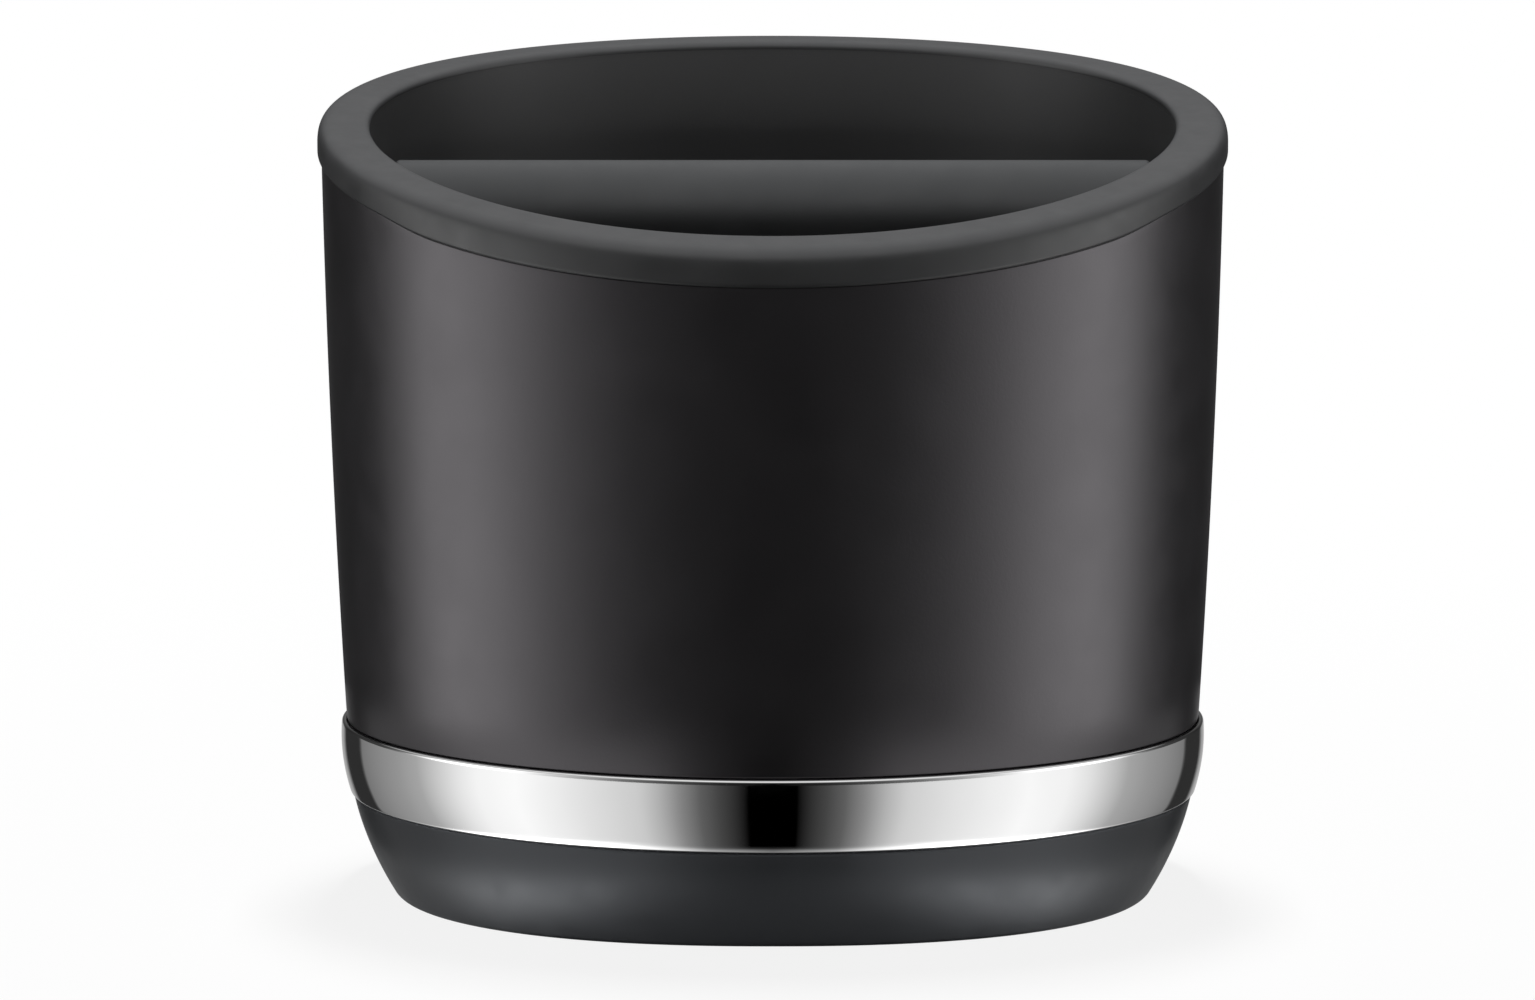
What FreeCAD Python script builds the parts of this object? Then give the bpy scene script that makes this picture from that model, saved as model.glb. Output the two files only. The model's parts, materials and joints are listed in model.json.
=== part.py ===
"""Espresso knock box: an oval bin with a lift-out knock bar across its mouth.

Frame: +X to the right, -Y towards the user (the low side of the mouth), +Z up.
The origin is on the table, under the middle of the box. Lengths are millimetres.
"""

import FreeCAD, Part
import math
import os
import Sketcher

SIZES = {
    # The oval plan: every level is an ellipse whose half depth is less than its half width.
    # The rim is the widest level, and the levels below step in from it one after another.
    "rim_half_width": 70.05,
    "oval_step": 6.5,
    # Mouth: a short straight ramp at the front that runs into a long arc towards the back.
    "mouth_front_height": 105.3,
    "mouth_ramp_angle": 14.1,
    "mouth_ramp_end": 45.0,
    "mouth_arc_radius": 660.0,
    # Soft rim bead: a cap over the top edges, with a lip down the outside.
    "rim_width": 8.05,
    "rim_cap": 2.3,
    "rim_lip": 1.8,
    "rim_height": 5.5,
    "rim_fit": 0.1,
    "rim_outer_round": 2.0,
    "rim_inner_round": 1.1,
    "rim_lower_round": 0.8,
    # Outer housing: a moulded shell that bows out gently as it rises.
    "housing_top_rise": 24.7,
    "housing_top_inset": 0.4,
    "housing_waist_rise": 51.5,
    "housing_waist_inset": 1.15,
    "housing_foot_inset": 2.35,
    "housing_wall": 2.5,
    "neck_wall": 2.2,
    # Steel band: pressed sheet with a flange turned in along its lower edge.
    "band_bottom": 15.25,
    "band_height": 11.25,
    "band_proud": 0.75,
    "band_knee_rise": 5.0,
    "band_knee_inset": 0.15,
    "band_lower_inset": 1.15,
    "band_gauge": 0.8,
    "band_flange": 4.8,
    "band_edge_round": 0.5,
    "band_fit": 0.1,
    # Non-slip boot: a soft bowl, rounder in plan towards the foot, with a tread ring under it.
    "boot_top_inset": 0.4,
    "boot_top_gap": 0.15,
    "boot_mid_height": 8.0,
    "boot_mid_inset": 2.3,
    "boot_mid_rounder": 1.0,
    "boot_foot_inset": 4.3,
    "boot_foot_rounder": 2.1,
    "boot_wall": 2.4,
    "boot_floor": 2.5,
    "boot_foot_round": 1.5,
    "tread_width": 9.0,
    "tread_depth": 0.8,
    # Rigid pan inside the boot, and the seal on its top edge.
    "pan_wall": 2.0,
    "pan_floor": 2.5,
    "pan_boss_wall": 2.0,
    "pan_boss_height": 2.5,
    "seal_thickness": 1.2,
    "seal_margin": 0.5,
    # Inner liner: the bucket that holds the spent coffee.
    "liner_wall": 2.2,
    "liner_mouth_step": 0.9,
    "liner_taper": 3.4,
    "liner_floor_height": 18.0,
    "liner_corner_round": 8.0,
    "liner_flange": 2.0,
    "liner_boss_wall": 2.1,
    # Base screws, driven up through the pan into the bosses under the liner.
    "screw_inset_x": 25.5,
    "screw_inset_y": 23.0,
    "screw_radius": 1.5,
    "screw_length": 10.0,
    "screw_tip_gap": 0.3,
    "screw_head_radius": 2.8,
    "screw_head_height": 2.0,
    "screw_head_gap": 0.2,
    "screw_drive_radius": 1.3,
    "screw_drive_depth": 1.1,
    "screw_slack": 0.2,
    "thread_slack": 0.02,
    # Knock bar: a steel tube in a soft sleeve, with a keyed plug in each end.
    "bar_drop": 2.3,
    "bar_radius": 10.0,
    "bar_end_gap": 4.7,
    "bar_end_round": 0.8,
    "sleeve_wall": 3.0,
    "core_wall": 2.0,
    "plug_step": 0.5,
    "plug_flange": 2.0,
    "plug_spigot": 12.0,
    "plug_fit": 0.05,
    "key_half_width": 3.0,
    "key_depth": 1.2,
    # Saddles that hold the bar's ends, each lined with a rubber pad.
    "bar_slack": 0.3,
    "pad_thickness": 1.5,
    "pad_length": 5.0,
    "pad_end_gap": 0.6,
    "saddle_wall": 5.7,
    "saddle_rise": 2.0,
    "saddle_nose": 0.8,
    "saddle_fit": 0.05,
    "key_slack": 0.3,
    # Saddle screws, driven through the liner's wall from behind.
    "fixing_offset": 3.0,
    "fixing_drop": 6.0,
    "fixing_radius": 1.1,
    "fixing_length": 6.5,
    "fixing_head_radius": 2.2,
    "fixing_head_height": 1.2,
    "fixing_drive_radius": 1.0,
    "fixing_drive_depth": 0.7,
    "fixing_seat_inset": 0.7,
    "fixing_seat_slack": 0.4,
    "fixing_seat_wall": 0.6,
    # How far a cutting solid runs past what it cuts.
    "margin": 5.0,
}

doc = FreeCAD.newDocument("knock_box")


def fill_sheet():
    """Put every size in the spreadsheet, one named cell each."""
    sheet = doc.addObject("Spreadsheet::Sheet", "sizes")
    for row, (name, number) in enumerate(SIZES.items(), start=1):
        sheet.set(f"A{row}", name)
        sheet.set(f"B{row}", str(number))
        sheet.setAlias(f"B{row}", name)
    doc.recompute()
    return sheet


sheet = fill_sheet()
scratch_sheet = doc.addObject("Spreadsheet::Sheet", "working")

# Sizes that follow from the ones above, written as sums of their names.
GROUND = "0"
RIM_INNER = "rim_half_width - rim_width"
RIM_GROOVE = "rim_half_width - rim_lip"
UPPER_NECK = f"{RIM_GROOVE} - rim_fit"
NECK_DROP = "rim_cap + liner_flange"
OUTSIDE = "rim_half_width - oval_step + margin"

HOUSING_TOP_WIDTH = "rim_half_width - housing_top_inset"
HOUSING_TOP = "mouth_front_height + housing_top_rise"
HOUSING_WAIST_WIDTH = f"{HOUSING_TOP_WIDTH} - housing_waist_inset"
HOUSING_FOOT_WIDTH = f"{HOUSING_WAIST_WIDTH} - housing_foot_inset"
HOUSING_FOOT = "band_bottom + band_height"
HOUSING_WAIST = f"{HOUSING_FOOT} + housing_waist_rise"
SKY = f"{HOUSING_TOP} + margin"

BAND_UPPER_WIDTH = f"{HOUSING_FOOT_WIDTH} + band_proud"
BAND_KNEE_WIDTH = f"{BAND_UPPER_WIDTH} - band_knee_inset"
BAND_LOWER_WIDTH = f"{BAND_KNEE_WIDTH} - band_lower_inset"
BAND_LEVELS = (
    (BAND_LOWER_WIDTH, "band_bottom"),
    (BAND_KNEE_WIDTH, "band_bottom + band_knee_rise"),
    (BAND_UPPER_WIDTH, HOUSING_FOOT),
)

BOOT_TOP_WIDTH = f"{BAND_LOWER_WIDTH} - boot_top_inset"
BOOT_MID_WIDTH = f"{BOOT_TOP_WIDTH} - boot_mid_inset"
BOOT_FOOT_WIDTH = f"{BOOT_MID_WIDTH} - boot_foot_inset"
BOOT_MID_STEP = "oval_step - boot_mid_rounder"
BOOT_FOOT_STEP = "oval_step - boot_foot_rounder"
BOOT_TOP = "band_bottom - boot_top_gap"
PAN_TOP = "band_bottom - seal_thickness"
PAN_BOSS_TOP = "boot_floor + pan_floor + pan_boss_height"

LINER_MOUTH_WIDTH = f"{RIM_INNER} + liner_mouth_step"
LINER_FLOOR_WIDTH = f"{LINER_MOUTH_WIDTH} - liner_taper"
LINER_UNDERSIDE = "liner_floor_height - liner_wall"
SCREW_X = f"{LINER_FLOOR_WIDTH} - screw_inset_x"
SCREW_Y = f"{LINER_FLOOR_WIDTH} - oval_step - screw_inset_y"
HEAD_SEAT = "boot_floor + screw_head_gap + screw_head_height"

BAR_HEIGHT = "mouth_front_height - bar_drop"
BAR_END = f"{LINER_MOUTH_WIDTH} - bar_end_gap"
CORE_RADIUS = "bar_radius - sleeve_wall"
CORE_BORE = f"{CORE_RADIUS} - core_wall"
PAD_RADIUS = "bar_radius + bar_slack"
SLOT_RADIUS = f"{PAD_RADIUS} + pad_thickness"
KEY_REACH = f"{SLOT_RADIUS} + key_depth"
SADDLE_RADIUS = f"{SLOT_RADIUS} + saddle_wall"
SADDLE_TOP = f"{BAR_HEIGHT} + saddle_rise"
PAD_START = f"{BAR_END} - pad_end_gap - pad_length"
SADDLE_START = f"{PAD_START} - saddle_nose"
FIXING_Y = f"{SLOT_RADIUS} + fixing_offset"
FIXING_HEIGHT = f"{BAR_HEIGHT} - fixing_drop"
FIXING_SEAT = f"{LINER_MOUTH_WIDTH} - fixing_seat_inset"
SPOTFACE_RADIUS = "fixing_head_radius + fixing_seat_slack"

# How near a point has to be to count as on a level, and as on an oval in proportion to its size.
ON_LEVEL = 0.01
ON_OVAL = 0.0005


def cell(words):
    """Turn a sum of size names, such as 'rim_height + margin', into an expression."""
    return " ".join(f"sizes.{word}" if word in SIZES else word for word in words.split())


def value(words):
    """What a sum of size names comes to, worked out in a cell of the second sheet."""
    scratch_sheet.set("A1", f"= {cell(words)}")
    scratch_sheet.recompute()
    return float(scratch_sheet.get("A1"))


def bind(item, **sums):
    """Tie properties of an object to sums of size names."""
    for target, words in sums.items():
        item.setExpression(target, cell(words))


def move(item, **sums):
    """Tie an object's place along x, y or z to sums of size names."""
    for axis, words in sums.items():
        item.setExpression(f".Placement.Base.{axis}", cell(words))


# --- Solids and what is done with them ---------------------------------------------------


def oval(name, half_width, height, step="oval_step"):
    """A horizontal ellipse at one height."""
    ring = doc.addObject("Part::Ellipse", name)
    bind(ring, MajorRadius=half_width, MinorRadius=f"{half_width} - ( {step} )")
    move(ring, z=height)
    return ring


def oval_column(name, half_width, low, high, step="oval_step"):
    """An upright solid of constant oval plan."""
    column = doc.addObject("Part::Extrusion", name)
    column.Base = oval(f"{name}_plan", half_width, low, step)
    column.DirMode = "Custom"
    column.Dir = FreeCAD.Vector(0, 0, 1)
    column.Solid = True
    bind(column, LengthFwd=f"( {high} ) - ( {low} )")
    return column


def oval_loft(name, *levels):
    """A smooth solid through ovals, each level being (half width, height[, step])."""
    loft = doc.addObject("Part::Loft", name)
    loft.Sections = [oval(f"{name}_level_{n}", *level) for n, level in enumerate(levels, start=1)]
    loft.Solid = True
    return loft


def rod(name, radius, low, high):
    """An upright cylinder."""
    cylinder = doc.addObject("Part::Cylinder", name)
    bind(cylinder, Radius=radius, Height=f"( {high} ) - ( {low} )")
    move(cylinder, z=low)
    return cylinder


def hexagon(name, radius, low, high):
    """An upright six-sided prism, for a screw's socket."""
    prism = doc.addObject("Part::Prism", name)
    prism.Polygon = 6
    bind(prism, Circumradius=radius, Height=f"( {high} ) - ( {low} )")
    move(prism, z=low)
    return prism


def combine(kind, name, base, tool):
    result = doc.addObject(kind, name)
    result.Base = base
    result.Tool = tool
    return result


def cut(name, base, tool):
    return combine("Part::Cut", name, base, tool)


def common(name, base, tool):
    return combine("Part::Common", name, base, tool)


def fuse(name, base, tool):
    return combine("Part::Fuse", name, base, tool)


def compound(name, *items):
    group = doc.addObject("Part::Compound", name)
    group.Links = list(items)
    return group


def mirrored(name, source, x=0, y=0):
    """The same piece on the other side of the box."""
    copy = doc.addObject("Part::Mirroring", name)
    copy.Source = source
    copy.Normal = FreeCAD.Vector(x, y, 0)
    return copy


def placed(name, item, turned=False, **sums):
    """A piece made upright at the origin, put in its place, or laid along X first."""
    group = compound(f"{name}_placed", item)
    if turned:
        group.Placement = FreeCAD.Placement(
            FreeCAD.Vector(), FreeCAD.Rotation(FreeCAD.Vector(0, 1, 0), 90)
        )
    move(group, **sums)
    return group


def four_way(name, item):
    """Four copies of a piece: right and left, front and back."""
    pair = compound(f"{name}_pair", item, mirrored(f"{name}_across", item, y=1))
    return compound(name, pair, mirrored(f"{name}_opposite", pair, x=1))


# --- Sketches ----------------------------------------------------------------------------

# A sketch numbers the points of a line or arc from 1, and its own axes from -1 down.
START, END, CENTRE = range(1, 4)
LEVEL_AXIS, UPRIGHT_AXIS = range(-1, -3, -1)
ORIGIN = (LEVEL_AXIS, START)


def origin_plane(body, role):
    return next(plane for plane in body.Origin.OriginFeatures if plane.Role == role)


def side_sketch(body, name, along=GROUND, down=GROUND):
    """A sketch on the body's YZ plane, moved along X or down; it is drawn in Y and Z."""
    sketch = body.newObject("Sketcher::SketchObject", name)
    sketch.AttachmentSupport = (origin_plane(body, "YZ_Plane"), [""])
    sketch.MapMode = "FlatFace"
    sketch.setExpression(".AttachmentOffset.Base.z", cell(along))
    sketch.setExpression(".AttachmentOffset.Base.y", cell(f"0 - ( {down} )"))
    return sketch


def hold(sketch, kind, *where):
    sketch.addConstraint(Sketcher.Constraint(kind, *where))


def measure(sketch, kind, *where, words):
    """A dimension that takes its value from a sum of size names."""
    index = sketch.addConstraint(Sketcher.Constraint(kind, *where, value(words)))
    sketch.setExpression(f"Constraints[{index}]", cell(words))


def draw_lines(sketch, *points):
    """Straight lines from point to point, joined end to end."""
    corners = [FreeCAD.Vector(across, up, 0) for across, up in points]
    lines = [sketch.addGeometry(Part.LineSegment(a, b)) for a, b in zip(corners, corners[1:])]
    for first, second in zip(lines, lines[1:]):
        hold(sketch, "Coincident", first, END, second, START)
    return lines


def draw_arc(sketch, centre, radius, start, end):
    circle = Part.Circle(FreeCAD.Vector(*centre, 0), FreeCAD.Vector(0, 0, 1), radius)
    return sketch.addGeometry(Part.ArcOfCircle(circle, start, end))


def draw_circle(sketch, radius):
    """A circle about the knock bar's axis."""
    centre = FreeCAD.Vector(0, value(BAR_HEIGHT), 0)
    ring = sketch.addGeometry(Part.Circle(centre, FreeCAD.Vector(0, 0, 1), value(radius)))
    hold(sketch, "PointOnObject", ring, CENTRE, UPRIGHT_AXIS)
    measure(sketch, "DistanceY", *ORIGIN, ring, CENTRE, words=BAR_HEIGHT)
    measure(sketch, "Radius", ring, words=radius)


def draw_twin_circles(sketch, radius, across, up):
    """Two equal circles, one each side of the sketch's upright axis."""
    for side in (-1, 1):
        centre = FreeCAD.Vector(side * value(across), value(up), 0)
        sketch.addGeometry(Part.Circle(centre, FreeCAD.Vector(0, 0, 1), value(radius)))
    left, right = 0, 1
    hold(sketch, "Symmetric", left, CENTRE, right, CENTRE, UPRIGHT_AXIS)
    hold(sketch, "Equal", left, right)
    measure(sketch, "DistanceX", *ORIGIN, right, CENTRE, words=across)
    measure(sketch, "DistanceY", *ORIGIN, right, CENTRE, words=up)
    measure(sketch, "Radius", right, words=radius)


def draw_cradle(sketch, radius):
    """An upright U about the knock bar's axis, closed across the saddle's top."""
    reach, axis, top = value(radius), value(BAR_HEIGHT), value(SADDLE_TOP)
    bottom = draw_arc(sketch, (0, axis), reach, math.pi, 2 * math.pi)
    right, lid, left = draw_lines(
        sketch, (reach, axis), (reach, top), (-reach, top), (-reach, axis)
    )
    hold(sketch, "Tangent", bottom, END, right, START)
    hold(sketch, "Tangent", left, END, bottom, START)
    hold(sketch, "Vertical", right)
    hold(sketch, "Vertical", left)
    hold(sketch, "Horizontal", lid)
    hold(sketch, "PointOnObject", bottom, CENTRE, UPRIGHT_AXIS)
    measure(sketch, "DistanceY", *ORIGIN, bottom, CENTRE, words=BAR_HEIGHT)
    measure(sketch, "DistanceY", *ORIGIN, lid, START, words=SADDLE_TOP)
    measure(sketch, "Radius", bottom, words=radius)


def draw_key(sketch, slack=GROUND):
    """The plug's key below the bar's axis, with slack all round for its slot."""
    half = value(f"key_half_width + {slack}")
    axis, foot = value(BAR_HEIGHT), value(f"{BAR_HEIGHT} - ( {KEY_REACH} ) - {slack}")
    corners = ((-half, foot), (half, foot), (half, axis), (-half, axis), (-half, foot))
    bottom, right, top, left = draw_lines(sketch, *corners)
    hold(sketch, "Coincident", left, END, bottom, START)
    hold(sketch, "Horizontal", bottom)
    hold(sketch, "Vertical", right)
    hold(sketch, "Vertical", left)
    hold(sketch, "Symmetric", top, START, top, END, UPRIGHT_AXIS)
    measure(sketch, "DistanceX", *ORIGIN, bottom, END, words=f"key_half_width + {slack}")
    measure(sketch, "DistanceY", *ORIGIN, top, START, words=BAR_HEIGHT)
    measure(sketch, "DistanceY", bottom, END, top, START, words=f"{KEY_REACH} + {slack}")


def pad(body, name, sketch, length, reverse=False, symmetric=False):
    feature = body.newObject("PartDesign::Pad", name)
    feature.Profile = sketch
    feature.Reversed = reverse
    if symmetric:
        feature.SideType = "Symmetric"
    bind(feature, Length=length)
    return feature


def pocket_ahead(body, name, sketch, length):
    """Cut a sketch's outline into the body towards +X."""
    feature = body.newObject("PartDesign::Pocket", name)
    feature.Profile = sketch
    feature.Reversed = True
    bind(feature, Length=length)
    return feature


# --- The mouth's curve -------------------------------------------------------------------


def mouth_height(y):
    """Height of the rim's top at a depth y."""
    angle = math.radians(value("mouth_ramp_angle"))
    knee = -value("mouth_ramp_end")
    front = -value("rim_half_width - oval_step")
    knee_height = value("mouth_front_height") + (knee - front) * math.tan(angle)
    if y <= knee:
        return knee_height - (knee - y) * math.tan(angle)
    radius = value("mouth_arc_radius")
    centre_y = knee + radius * math.sin(angle)
    centre_z = knee_height - radius * math.cos(angle)
    return centre_z + math.sqrt(radius**2 - (y - centre_y) ** 2)


def above_mouth(name, drop):
    """Everything above the mouth's curve, with the curve lowered by a drop."""
    body = doc.addObject("PartDesign::Body", name)
    sketch = side_sketch(body, f"{name}_curve", down=drop)
    angle = math.radians(value("mouth_ramp_angle"))
    radius = value("mouth_arc_radius")
    back, knee, top = value(OUTSIDE), -value("mouth_ramp_end"), value(f"2 * ( {SKY} )")
    centre = (knee + radius * math.sin(angle), mouth_height(knee) - radius * math.cos(angle))
    (ramp,) = draw_lines(sketch, (-back, mouth_height(-back)), (knee, mouth_height(knee)))
    back_angle = math.acos((back - centre[0]) / radius)
    arc = draw_arc(sketch, centre, radius, back_angle, math.pi / 2 + angle)
    back_side, lid, front_side = draw_lines(
        sketch, (back, mouth_height(back)), (back, top), (-back, top), (-back, mouth_height(-back))
    )
    hold(sketch, "Tangent", ramp, END, arc, END)
    hold(sketch, "Coincident", arc, START, back_side, START)
    hold(sketch, "Coincident", front_side, END, ramp, START)
    hold(sketch, "Vertical", back_side)
    hold(sketch, "Horizontal", lid)
    hold(sketch, "Vertical", front_side)
    ramp_foot = "mouth_front_height - margin * tan( mouth_ramp_angle * 1 deg )"
    slope = sketch.addConstraint(Sketcher.Constraint("Angle", ramp, angle))
    sketch.setExpression(f"Constraints[{slope}]", cell("mouth_ramp_angle * 1 deg"))
    measure(sketch, "DistanceX", ramp, START, *ORIGIN, words=OUTSIDE)
    measure(sketch, "DistanceX", ramp, END, *ORIGIN, words="mouth_ramp_end")
    measure(sketch, "DistanceX", *ORIGIN, arc, START, words=OUTSIDE)
    measure(sketch, "DistanceY", *ORIGIN, ramp, START, words=ramp_foot)
    measure(sketch, "DistanceY", *ORIGIN, lid, START, words=f"2 * ( {SKY} )")
    measure(sketch, "Radius", arc, words="mouth_arc_radius")
    pad(body, f"{name}_pad", sketch, f"2 * ( {OUTSIDE} + oval_step )", symmetric=True)
    return body


# --- Rounded edges -----------------------------------------------------------------------


def samples(edge):
    """Points near both ends of an edge and between them."""
    first, last = edge.FirstParameter, edge.LastParameter
    return [edge.valueAt(first + (last - first) * share) for share in (0.02, 0.35, 0.65, 0.98)]


def on_oval(point, half_width, step):
    return abs(math.hypot(point.x / half_width, point.y / (half_width - step)) - 1) < ON_OVAL


def at_level(half_width, height, step="oval_step"):
    """A test for the edge of one oval at one height."""
    reach, level, inset = value(half_width), value(height), value(step)
    return lambda edge: all(
        on_oval(point, reach, inset) and abs(point.z - level) < ON_LEVEL for point in samples(edge)
    )


def at_mouth(half_width, drop=GROUND):
    """A test for edges that follow the mouth's curve on one oval."""
    reach, fall, inset = value(half_width), value(drop), value("oval_step")
    return lambda edge: all(
        on_oval(point, reach, inset) and abs(point.z + fall - mouth_height(point.y)) < ON_LEVEL
        for point in samples(edge)
    )


def rounded(name, base, *rounds):
    """Fillet edges of a solid: each round is (radius, test for an edge)."""
    doc.recompute()
    result = doc.addObject("Part::Fillet", name)
    result.Base = base
    result.Edges = [
        (number, value(radius), value(radius))
        for radius, wanted in rounds
        for number, edge in enumerate(base.Shape.Edges, start=1)
        if wanted(edge)
    ]
    return result


# --- Rim, housing, band and boot ---------------------------------------------------------


def make_rim(above_flange, above_shoulder):
    """The soft bead: a cap on the liner's flange and a lip over the housing's neck."""
    above_rim = above_mouth("above_rim", GROUND)
    block = oval_column("rim_block", "rim_half_width", GROUND, SKY)
    hole = oval_column("rim_hole", RIM_INNER, GROUND, SKY)
    groove = oval_column("rim_groove", RIM_GROOVE, GROUND, SKY)
    topped = cut("rim_topped", block, above_rim)
    slice_of_it = common("rim_slice", topped, above_shoulder)
    ring = cut("rim_ring", slice_of_it, hole)
    bead = cut("rim_square", ring, cut("rim_under_cap", groove, above_flange))
    return rounded(
        "rim_bead",
        bead,
        ("rim_outer_round", at_mouth("rim_half_width")),
        ("rim_inner_round", at_mouth(RIM_INNER)),
        ("rim_lower_round", at_mouth("rim_half_width", "rim_height")),
    )


def lower_neck(half_width):
    """What fits inside the steel band where the band has this half width."""
    return f"{half_width} - band_gauge - band_fit"


def make_housing(above_neck, above_shoulder):
    """The outer shell, with a neck under the rim's lip and another behind the band."""
    outside = oval_loft(
        "housing_outside",
        (HOUSING_FOOT_WIDTH, HOUSING_FOOT),
        (HOUSING_WAIST_WIDTH, HOUSING_WAIST),
        (HOUSING_TOP_WIDTH, HOUSING_TOP),
    )
    topped = cut("housing_topped", outside, above_neck)
    upper_neck = oval_column("housing_upper_neck", UPPER_NECK, GROUND, SKY)
    stepped = cut("housing_stepped", topped, cut("housing_rebate", above_shoulder, upper_neck))
    neck = oval_loft(
        "housing_lower_neck",
        (lower_neck(BAND_LOWER_WIDTH), "band_bottom + band_gauge"),
        (lower_neck(BAND_KNEE_WIDTH), "band_bottom + band_knee_rise"),
        (lower_neck(BAND_UPPER_WIDTH), HOUSING_FOOT),
    )
    hollow = oval_loft(
        "housing_hollow",
        (lower_neck(BAND_LOWER_WIDTH) + " - neck_wall", "band_bottom"),
        (f"{HOUSING_FOOT_WIDTH} - housing_wall", HOUSING_FOOT),
        (f"{HOUSING_WAIST_WIDTH} - housing_wall", HOUSING_WAIST),
        (f"{HOUSING_TOP_WIDTH} - housing_wall", SKY),
    )
    return cut("outer_housing", fuse("housing_solid", stepped, neck), hollow)


def make_band():
    """The polished trim, with its lower edge turned in under the housing's neck."""
    outside = oval_loft("band_outside", *BAND_LEVELS)
    inside = oval_loft(
        "band_inside", *((f"{width} - band_gauge", height) for width, height in BAND_LEVELS)
    )
    flange = oval_column("band_flange", "rim_half_width", GROUND, "band_bottom + band_gauge")
    hole = oval_column("band_hole", f"{BAND_LOWER_WIDTH} - band_flange", GROUND, SKY)
    wall = cut("band_wall", outside, cut("band_above_flange", inside, flange))
    return rounded(
        "steel_band",
        cut("band_square", wall, hole),
        ("band_edge_round", at_level(BAND_UPPER_WIDTH, HOUSING_FOOT)),
        ("band_edge_round", at_level(BAND_LOWER_WIDTH, "band_bottom")),
    )


def bowl(name, inset, floor):
    """The boot's bowl form, moved in by an inset and starting at a floor height."""
    return oval_loft(
        name,
        (f"{BOOT_FOOT_WIDTH} - ( {inset} )", floor, BOOT_FOOT_STEP),
        (f"{BOOT_MID_WIDTH} - ( {inset} )", "boot_mid_height", BOOT_MID_STEP),
        (f"{BOOT_TOP_WIDTH} - ( {inset} )", BOOT_TOP),
    )


def make_boot_and_pan():
    """The soft boot, and the rigid pan bonded inside it that takes the screws."""
    outside = rounded(
        "boot_outside",
        bowl("boot_bowl", GROUND, GROUND),
        ("boot_foot_round", at_level(BOOT_FOOT_WIDTH, GROUND, BOOT_FOOT_STEP)),
    )
    inside = bowl("boot_inside", "boot_wall", "boot_floor")
    boot = cut("boot_shell", outside, inside)
    hollow_width = f"{BOOT_FOOT_WIDTH} - tread_width"
    tread = oval_column("boot_tread", hollow_width, "0 - margin", "tread_depth", BOOT_FOOT_STEP)
    boot = cut("base_boot", boot, tread)

    over = oval_column("pan_over", "rim_half_width", PAN_TOP, SKY)
    hollow = bowl("pan_hollow", "boot_wall + pan_wall", "boot_floor + pan_floor")
    shell = cut("pan_shell", cut("pan_solid", inside, over), hollow)
    recess_radius = "screw_head_radius + screw_slack"
    boss_radius = f"{recess_radius} + pan_boss_wall"
    bosses = at_screws("pan_bosses", rod, boss_radius, "boot_floor", PAN_BOSS_TOP)
    recesses = at_screws("pan_recesses", rod, recess_radius, GROUND, HEAD_SEAT)
    hole_radius = "screw_radius + screw_slack"
    holes = at_screws("pan_holes", rod, hole_radius, GROUND, SKY)
    pan = cut("pan_recessed", fuse("pan_bossed", shell, bosses), recesses)
    return boot, cut("base_pan", pan, holes)


def make_seal():
    """The flat ring pressed between the pan and the band's flange."""
    outer = f"{BOOT_TOP_WIDTH} - boot_wall - seal_margin"
    inner = f"{BOOT_TOP_WIDTH} - boot_wall - pan_wall + seal_margin"
    ring = oval_column("seal_disc", outer, PAN_TOP, "band_bottom")
    return cut("base_seal", ring, oval_column("seal_hole", inner, GROUND, SKY))


# --- Liner and screws --------------------------------------------------------------------


def at_screws(name, make, radius, low, high):
    """The same upright shape at all four base screws."""
    item = placed(name, make(f"{name}_shape", radius, low, high), x=SCREW_X, y=SCREW_Y)
    return four_way(name, item)


def at_fixings(name, make, radius, low, high):
    """The same shape along X at all four saddle screws, measured from the middle."""
    shape = make(f"{name}_shape", radius, low, high)
    item = placed(name, shape, turned=True, y=FIXING_Y, z=FIXING_HEIGHT)
    return four_way(name, item)


def liner_form(name, outset, floor):
    """The liner's tapered form, moved out by an outset and down to a floor height."""
    return oval_loft(
        name,
        (f"{LINER_FLOOR_WIDTH} + {outset}", floor),
        (f"{LINER_MOUTH_WIDTH} + {outset}", SKY),
    )


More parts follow.
